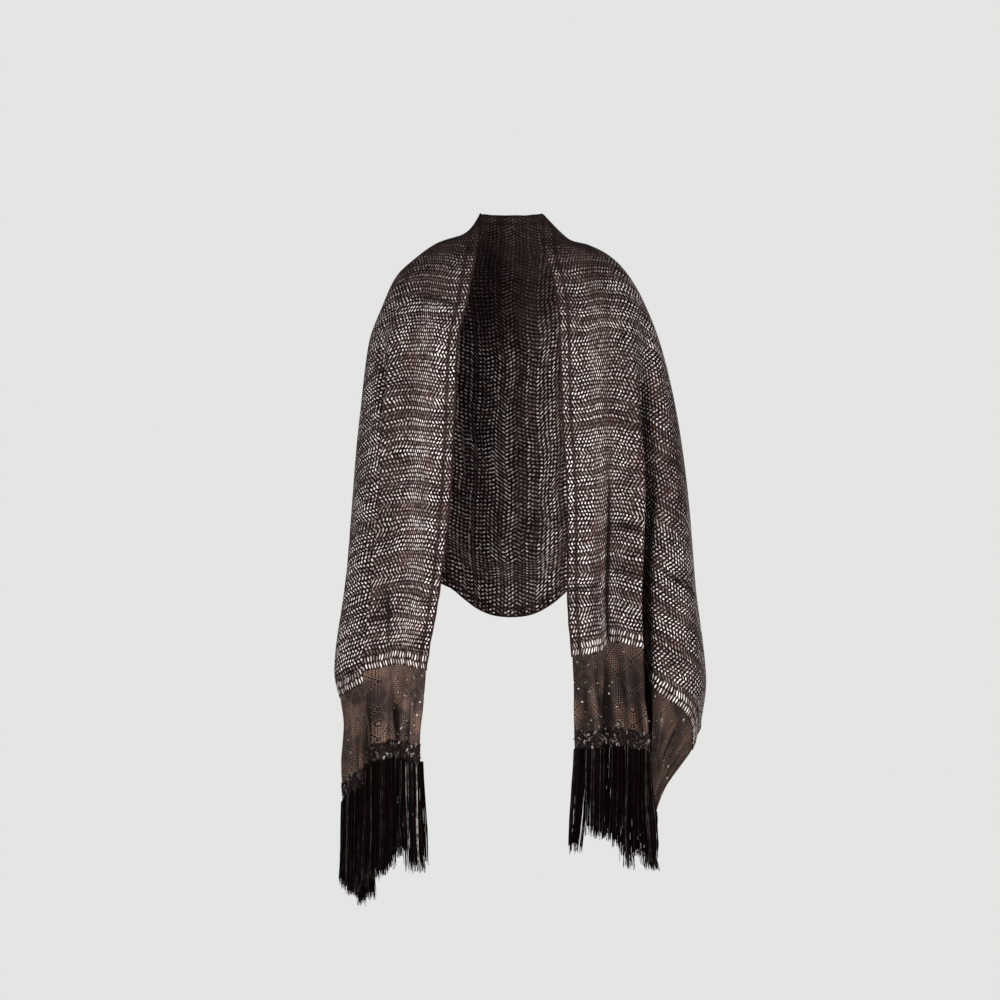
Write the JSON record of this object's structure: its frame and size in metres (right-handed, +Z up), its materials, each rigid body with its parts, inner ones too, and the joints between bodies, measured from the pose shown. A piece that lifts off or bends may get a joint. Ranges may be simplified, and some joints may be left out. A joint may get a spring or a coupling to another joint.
{
  "type": "rebozo shawl",
  "caption": "Long woven rebozo shawl draped round a neck and over both shoulders, open down the front, with a lace band, a knotted band and a fringe at each end.",
  "frame": {"origin": "mid-point between the wearer's shoulders at the base of the neck, where the shawl is carried", "axes": "+X to the right side as seen from the front, -Y to the front, +Z up"},
  "size_m": [0.5694, 0.2947, 1.0834],
  "materials": {
    "ikat_weave": "matte plain weave, brown-black ground with warm white ikat flecks",
    "dark_lace": "semi-sheer dark brown net",
    "fringe_yarn": "twisted black-brown yarn, slight sheen"
  },
  "bodies": {
    "root": {"cloth_back": "ikat_weave", "cloth_arm_left": "ikat_weave", "cloth_front_left": "ikat_weave", "lace_arm_left": "dark_lace", "lace_front_left": "dark_lace", "fringe_arm_left": "fringe_yarn", "fringe_front_left": "fringe_yarn", "cloth_arm_right": "ikat_weave", "cloth_front_right": "ikat_weave", "lace_arm_right": "dark_lace", "lace_front_right": "dark_lace", "fringe_arm_right": "fringe_yarn", "fringe_front_right": "fringe_yarn"}
  },
  "joints": []
}
